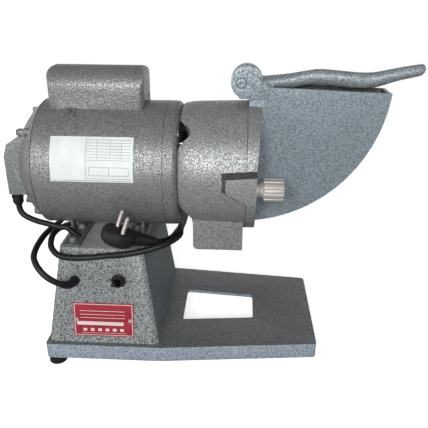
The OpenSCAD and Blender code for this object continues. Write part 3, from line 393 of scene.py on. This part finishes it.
def add_marks(material, fields, ink):
    """Ruled lines and blank fields, each a middle and half sizes along X and Z."""
    apart = add_node(material, "ShaderNodeSeparateXYZ")
    join(material, object_place(material), apart.inputs[0])
    whole = None
    for x, z, half_x, half_z in fields:
        inside = []
        for axis, middle, half in (("X", x, half_x), ("Z", z, half_z)):
            near = add_node(material, "ShaderNodeMath", operation="COMPARE")
            join(material, apart.outputs[axis], near.inputs[0])
            near.inputs[1].default_value = middle
            near.inputs[2].default_value = half
            inside.append(near.outputs[0])
        both = add_node(material, "ShaderNodeMath", operation="MULTIPLY")
        join(material, inside[0], both.inputs[0])
        join(material, inside[1], both.inputs[1])
        if whole is None:
            whole = both.outputs[0]
            continue
        either = add_node(material, "ShaderNodeMath", operation="MAXIMUM")
        join(material, whole, either.inputs[0])
        join(material, both.outputs[0], either.inputs[1])
        whole = either.outputs[0]
    shader = material.node_tree.nodes["Principled BSDF"]
    under = shader.inputs["Base Color"].links[0].from_socket
    join(material, mix_colours(material, whole, under, ink), shader.inputs["Base Color"])


def field(origin, x, z, half_x, half_z):
    """A field given in millimetres from a point of the part."""
    return origin.x + x / 1000, origin.z + z / 1000, half_x / 1000, half_z / 1000


add_camera()
black_rubber = moulded("black_rubber", (0.004, 0.004, 0.005), 0.5)
supply_path = smooth_path([out_of_hole(d) for d in (-10, -4, 3)] + [on_axis(*p) for p in SUPPLY_ROUTE]
                          + [at_plug(d, 0, 0) for d in (46, 34, 21)], 5)
supply_cord = run_cord("supply_cord_run", supply_path, CORD_R, black_rubber, "stand")
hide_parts("supply_cord")
lead_path = smooth_path([on_axis(*p) for p in LEAD_ROUTE], 5)
motor_lead = run_cord("motor_lead_run", lead_path, CORD_R, black_rubber, "stand")
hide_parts("motor_lead")

# Ribbed, tapered sleeves where the supply cord leaves the pedestal and the plug
RIBS = 18
RIB_DEPTH = 0.00035
rib = [RIB_DEPTH if k % 3 else -RIB_DEPTH for k in range(RIBS)]
for name, points, wide, narrow in (
        ("pedestal_relief", stretch_of(supply_path, 0.0105, 0.024, RIBS), 0.0050, 0.0040),
        ("plug_relief", [at_plug(23 + 1.25 * k, 0, 0) for k in range(RIBS)], 0.0069, 0.0046)):
    run_sleeve(name, points, [wide + (narrow - wide) * k / (RIBS - 1) + rib[k] for k in range(RIBS)],
               black_rubber, "stand")

# ---- Materials ----
# The castings have one colour on the real machine. Here some of their sides have a lighter, darker
# or bluer paint of their own, which stands in for light and shade: rim, plate, head and right side
# of the base, the lugs' upper sides, the chute and the hopper's inside.
motor_paint = hammered_paint("hammered_grey", (0.165, 0.167, 0.162))
house_paint = hammered_paint("hammered_light_grey", (0.215, 0.218, 0.216))
hopper_paint = hammered_paint("hammered_blue_grey", (0.206, 0.246, 0.275), 0.28, 0.0016)
lever_paint = hammered_paint("hammered_lever_grey", (0.225, 0.252, 0.27), 0.32)
base_paint = hammered_paint("hammered_base_grey", (0.205, 0.216, 0.218), 0.5)
painted_light_rim = hammered_paint("hammered_painted_light_rim", (0.30, 0.345, 0.40), 0.3)
painted_shade_plate_top = hammered_paint("hammered_painted_shade_plate_top", (0.125, 0.133, 0.133), 0.35)
painted_light_pedestal_head = hammered_paint("hammered_painted_light_pedestal_head", (0.32, 0.325, 0.32), 0.15)
painted_shade_pedestal_side = hammered_paint("hammered_painted_shade_pedestal_side", (0.095, 0.112, 0.122), 0.15)
shaded_paint = hammered_paint("hammered_shaded", (0.068, 0.062, 0.058))
painted_shade_inside = hammered_paint("painted_shade_hopper_inside", (0.03, 0.031, 0.033))
cradle_paint_and_shade = hammered_paint("dark_cradle_paint_and_shade", (0.10, 0.105, 0.108))
bolt_and_chute_shade_paint = hammered_paint("painted_bolt_and_chute_shade", (0.12, 0.122, 0.12), 0.15)
cover_paint = hammered_paint("hammered_cover", (0.188, 0.196, 0.195))
zinc = worn_metal("zinc_plate", (0.62, 0.63, 0.64), 0.32)
ground_steel = worn_metal("ground_steel", (0.66, 0.67, 0.68), 0.24)
disc_steel = worn_metal("disc_steel", (0.70, 0.71, 0.72), 0.28)
laminated_iron = worn_metal("laminated_iron", (0.30, 0.30, 0.31), 0.45)
cast_aluminium = worn_metal("cast_aluminium", (0.16, 0.165, 0.17), 0.62, 500, 0.5)
knob_metal = worn_metal("knob_metal", (0.42, 0.39, 0.37), 0.55, 700, 0.45)
pin_metal = worn_metal("dull_brass", (0.36, 0.32, 0.30), 0.42, 900, 0.9)
copper = worn_metal("enamelled_copper", (0.52, 0.24, 0.09), 0.35)
black_plastic = moulded("black_plastic", (0.005, 0.005, 0.006), 0.42)
label_film = moulded("label_film", (0.58, 0.60, 0.60), 0.45, 800, 0.03)
plate_red = moulded("plate_red", (0.26, 0.017, 0.03), 0.5, 900, 0.05)

# Empty ruled table of the motor's label: middle and half sizes of each line, in millimetres
LABEL_FIELDS = (
    [(-50, 22, 0.25, 21)]
    + [(-25.6, 42 - 2.75 * k, 23.4, 0.2) for k in range(8)]
    + [(x, 32.4, 0.18, 9.6) for x in (-38, -24, -12)]
    + [(-25.6, z, 21, 0.25) for z in (15.6, 7)]
    + [(x, 11.3, 0.25, 4.3) for x in (-46.4, -25.6, -4.8)]
    + [(-25.6, 3.6, 23.4, 0.2), (-44, 1.4, 41.5, 0.3)])
label_corner = on_axis(-46, 0, 0)
add_marks(label_film, [field(label_corner, *line) for line in LABEL_FIELDS], (0.20, 0.20, 0.20))
# Border and blank fields of the rating plate, in the same way
PLATE_FIELDS = (
    [(x, 0, 0.4, 19.6) for x in (-33.4, 33.4)]
    + [(0, z, 33.4, 0.35) for z in (-19.4, 19.4)]
    + [(-4, -4.6, 27, 2.2)]
    + [(-1, z, 26, 0.3) for z in (11, 6.6, 2.4)]
    + [(-22 + 8.6 * k, -12.6, 2.2, 1.7) for k in range(6)]
    + [(0, -16.8, 26, 0.2)])
plate_middle = on_table(-86.6, 0, 60.7)
add_marks(plate_red, [field(plate_middle, *line) for line in PLATE_FIELDS], (0.62, 0.52, 0.52))

# The finish of each material slot
FINISHES = {
    "grey_paint": motor_paint, "blue_grey_paint": hopper_paint, "base_paint": base_paint,
    "zinc_steel": zinc, "bright_steel": ground_steel, "disc_steel": disc_steel,
    "iron": laminated_iron, "cast_aluminium": cast_aluminium, "knob_metal": knob_metal,
    "copper_wire": copper, "label_white": label_film, "rating_red": plate_red,
    "black_rubber": black_rubber, "black_plastic": black_plastic, "black_steel": black_plastic}

for node, slot in SLOTS.items():
    paint(node, FINISHES[slot])

# ---- Castings and pressings, their edges rounded ----
# Heights on the base casting, in metres: the rim's lower edge, the plate's top, the pedestal's head
RIM_LOW, PLATE_TOP, HEAD_LOW = 0.011, 0.031, 0.147
# Room for rounding when faces are told apart by their height
HAIR = 0.0005

base = soften("base_casting", base_paint, 0.0028, 4)
# Painted light: the rim of the base is given a lighter, bluer paint for the light falling on it from the
# front
repaint(base, painted_light_rim,
        lambda n, at: abs(n.z) < 0.7 and all(RIM_LOW < c.z < PLATE_TOP + HAIR for c in at))
# Painted shade: the top of the base plate is given a darker paint, as faces that look up get little light
repaint(base, painted_shade_plate_top,
        lambda n, at: n.z > 0.9 and all(abs(c.z - PLATE_TOP) < 2 * HAIR for c in at))
# Painted shade: the pedestal's right side is given a darker paint, as it faces away from the light
repaint(base, painted_shade_pedestal_side,
        lambda n, at: n.x > 0.85 and all(c.z > PLATE_TOP - HAIR for c in at))
# Painted light: the top of the pedestal's head is given a lighter paint
repaint(base, painted_light_pedestal_head, lambda n, at: n.z > 0.9 and all(c.z > HEAD_LOW for c in at))
# The cradle is given a dark grey, partly its own paint and partly painted shade under the motor
soften("motor_cradle", cradle_paint_and_shade, 0.0010)
soften("front_end_shield", motor_paint, 0.0012)
soften("rear_end_shield", motor_paint, 0.0012)
cover = soften("terminal_cover", cover_paint, 0.0011)
soften("capacitor_cover", motor_paint, 0.0010)
housing = soften("grater_housing", house_paint, 0.0012)
# Painted shade: the discharge chute is given the darker bolt paint, a little darker than the housing
CHUTE_BELOW = 0.062
repaint(housing, bolt_and_chute_shade_paint, lambda n, at: all(c.z < AXIS_Z - CHUTE_BELOW for c in at))

# Room that the stud lugs take: outward, below and above the motor's axis, and from the drive face
LUG_OUT, LUG_LOW, LUG_HIGH, LUG_FROM = 0.058, -0.022, 0.018, 0.042


def lug_side(normal, corners):
    """The drafted upper and rear sides of the stud lugs."""
    return ((normal.z > 0.4 or normal.x < -0.4)
            and all(abs(c.y) > LUG_OUT and LUG_LOW < c.z - AXIS_Z < LUG_HIGH and c.x > LUG_FROM - MID
                    for c in corners))


# Painted shade on the drafted upper and rear sides of the housing's lugs
repaint(housing, shaded_paint, lug_side)
hopper = soften("hopper", hopper_paint, 0.0012, 4)
# The far wall is cut along its inner face, so that its rim can take the painted shade of the inside
CUT_Y = 0.0141
shape = bmesh.new()
shape.from_mesh(hopper.data)
bmesh.ops.bisect_plane(shape, geom=shape.verts[:] + shape.edges[:] + shape.faces[:],
                       plane_co=(0, CUT_Y, 0), plane_no=(0, 1, 0))
shape.to_mesh(hopper.data)
shape.free()
# Where the flange ends, from the drive face and over the motor's axis
FLANGE_END, FLANGE_TOP = 0.0885, 0.076
# The hopper's inner half width, the far rim's bevel and outer edge, and where the inside starts
INNER_HALF, RIM_BEVEL, RIM_EDGE, INSIDE_FROM = 0.0143, 0.0165, 0.0185, 0.060


def painted_shade_rim(normal, corners):
    """The end wall's inside and the far wall's rim, without the far wall's outside, which take painted
    shade.
    """
    return (all(c.x > INSIDE_FROM - MID and -INNER_HALF < c.y < RIM_EDGE for c in corners)
            and not (normal.y > 0.5 and all(c.y > RIM_BEVEL for c in corners)))


# The flange has the housing's paint
repaint(hopper, house_paint,
        lambda n, at: all(c.x < FLANGE_END - MID and c.z < AXIS_Z + FLANGE_TOP for c in at))
# Painted shade on the drafted upper and rear sides of the hopper's lugs
repaint(hopper, shaded_paint, lug_side)
# Painted shade in the hopper: a near-black paint on the inside and on the far rim
repaint(hopper, painted_shade_inside, painted_shade_rim)
repaint(hopper, painted_shade_inside, lambda n, at: abs(n.y) > 0.9 and all(abs(c.y) < INNER_HALF for c in at))

lever = soften("lever", lever_paint, 0.0006)
# The rod's underside is fuller between the hub and the grip
PIN_X = 0.0647
FULL_MIDDLE, FULL_HALF, FULL_DEPTH = 0.105, 0.064, 0.0028
ROD_MIDDLE, ROD_HALF = 0.1005, 0.007
for corner in lever.data.vertices:
    along = (corner.co.x - PIN_X + MID - FULL_MIDDLE) / FULL_HALF
    under = AXIS_Z + ROD_MIDDLE - corner.co.z
    if abs(along) < 1 and under > 0:
        corner.co.z -= FULL_DEPTH * (1 - along * along) * min(under / ROD_HALF, 1)
soften("rubber_feet", black_rubber, 0.0008)
for knob in ("front_knob", "rear_knob"):
    soften(knob, knob_metal, 0.0004, 2)
soften("hinge_pin", hopper_paint, 0.0004, 2)
for node in ("cradle_bolts", "capacitor_screws", "through_bolts"):
    soften(node, bolt_and_chute_shade_paint, 0.0003, 2)
# The two bosses of the terminal cover are shorter than their solids, and their screws sit lower with them
BOSS_SHORTER = 0.005
BOSS_END, BOSS_LOW = -0.1815, 0.0325
screws = soften("terminal_screws", bolt_and_chute_shade_paint, 0.0003, 2)
for corner in screws.data.vertices:
    corner.co.x += BOSS_SHORTER
for corner in cover.data.vertices:
    if corner.co.x < BOSS_END - MID and corner.co.z > AXIS_Z + BOSS_LOW:
        corner.co.x += BOSS_SHORTER
soften("studs", knob_metal, 0.0003, 2)
for node in ("front_washer", "rear_washer"):
    paint(node, knob_metal)
soften("plug_body", black_rubber, 0.0008)
soften("plug_pins", pin_metal, 0.0002, 2)
soften("switch_nut", black_plastic, 0.0004, 2)
soften("rating_plate", plate_red, 0.0002, 2)

# Dark joint lines of the end shields, the hopper's flange and the head of the hinge pin
joint_dark = moulded("joint_dark", (0.02, 0.02, 0.02), 0.6)


def add_ring(name, place, axis, radius, thickness, node):
    """A thin dark ring in the joint between two pieces."""
    bpy.ops.object.select_all(action="DESELECT")
    turn = {"X": (0, math.pi / 2, 0), "Y": (math.pi / 2, 0, 0)}[axis]
    bpy.ops.mesh.primitive_torus_add(location=place, rotation=turn, major_radius=radius,
                                     minor_radius=thickness, major_segments=128, minor_segments=6)
    ring = bpy.context.object
    ring.name = name
    settle(ring)
    finish_piece(ring, joint_dark, body_of_node(node))


add_ring("rear_joint", on_axis(-155.1, 0, 0), "X", SHELL_R, 0.00034, "motor_shell")
add_ring("drive_joint", on_axis(-15.9, 0, 0), "X", SHELL_R, 0.00022, "motor_shell")
add_ring("flange_joint", on_axis(72.6, 0, 0), "X", 0.0733, 0.0003, "grater_housing")
add_ring("pin_head_joint", on_axis(64.7, -20.05, 96), "Y", 0.0053, 0.0004, "hopper")


# ---- Studio ----
def add_light(name, place, aim, size, power, colour=(1, 1, 1), glossy=True):
    bpy.ops.object.light_add(type="AREA", location=place)
    light = bpy.context.object
    light.name = name
    light.rotation_euler = (Vector(aim) - Vector(place)).to_track_quat("-Z", "Y").to_euler()
    light.data.shape = "RECTANGLE"
    light.data.size, light.data.size_y = size
    light.data.energy = power
    light.data.color = colour
    light.visible_glossy = glossy


def add_floor():
    """The floor, which also glows a little to the camera and in reflections."""
    bpy.ops.mesh.primitive_plane_add(size=2.4, location=(0, 0, 0))
    floor = bpy.context.object
    floor.name = "floor"
    material, shader = new_finish("pale_floor", roughness=0.9, colour=(0.2, 0.2, 0.2))
    rays = add_node(material, "ShaderNodeLightPath")
    tone = mix_colours(material, rays.outputs["Is Camera Ray"], (0.2, 0.2, 0.2), (0.86, 0.86, 0.86))
    join(material, tone, shader.inputs["Base Color"])
    mirrored = add_node(material, "ShaderNodeMath", operation="MULTIPLY")
    join(material, rays.outputs["Is Glossy Ray"], mirrored.inputs[0])
    mirrored.inputs[1].default_value = 0.12
    glow = add_node(material, "ShaderNodeMath", operation="MULTIPLY_ADD")
    join(material, rays.outputs["Is Camera Ray"], glow.inputs[0])
    glow.inputs[1].default_value = 0.72
    join(material, mirrored.outputs[0], glow.inputs[2])
    shader.inputs["Emission Color"].default_value = (1, 1, 1, 1)
    join(material, glow.outputs[0], shader.inputs["Emission Strength"])
    floor.data.materials.append(material)


def add_world():
    """Walls and ceiling: white to the eye, paler below than above in reflections and as light."""
    world = bpy.data.worlds.new("studio")
    bpy.context.scene.world = world
    world.use_nodes = True
    sky = world.node_tree.nodes["Background"]
    sky.inputs["Color"].default_value = (1, 1, 1, 1)
    place = add_node(world, "ShaderNodeTexCoord")
    height = add_node(world, "ShaderNodeSeparateXYZ")
    join(world, place.outputs["Generated"], height.inputs[0])
    wall = add_node(world, "ShaderNodeMapRange",
                    **{"From Min": 0.15, "From Max": 0.6, "To Min": 1.0, "To Max": 0.25})
    join(world, height.outputs["Z"], wall.inputs["Value"])
    paths = add_node(world, "ShaderNodeLightPath")
    diffuse = add_node(world, "ShaderNodeMix", data_type="FLOAT")
    join(world, paths.outputs["Is Diffuse Ray"], diffuse.inputs[0])
    join(world, wall.outputs["Result"], diffuse.inputs[2])
    soft = add_node(world, "ShaderNodeMapRange",
                    **{"From Min": 0.0, "From Max": 0.7, "To Min": 0.22, "To Max": 0.02})
    join(world, height.outputs["Z"], soft.inputs["Value"])
    join(world, soft.outputs["Result"], diffuse.inputs[3])
    seen = add_node(world, "ShaderNodeMath", operation="MAXIMUM")
    join(world, paths.outputs["Is Camera Ray"], seen.inputs[0])
    join(world, paths.outputs["Is Transmission Ray"], seen.inputs[1])
    shade = add_node(world, "ShaderNodeMix", data_type="FLOAT")
    join(world, seen.outputs[0], shade.inputs[0])
    join(world, diffuse.outputs[0], shade.inputs[2])
    shade.inputs[3].default_value = 1.0
    join(world, shade.outputs[0], sky.inputs["Strength"])


def add_lights():
    middle = (0, 0, 0.2)
    add_light("left_fill", (-1.5, -0.75, 0.6), middle, (0.8, 0.8), 8)
    add_light("back_fill", (-0.5, 1.7, 0.2), middle, (1.2, 0.4), 15, glossy=False)
    add_light("right_fill", (1.7, 0.5, 0.22), middle, (0.8, 0.4), 7, glossy=False)
    add_light("key", (-0.15, -1.55, 0.85), middle, (0.8, 0.5), 30, (0.98, 1.0, 1.01))


add_floor()
add_world()
add_lights()
bpy.context.scene.view_settings.view_transform = "Standard"
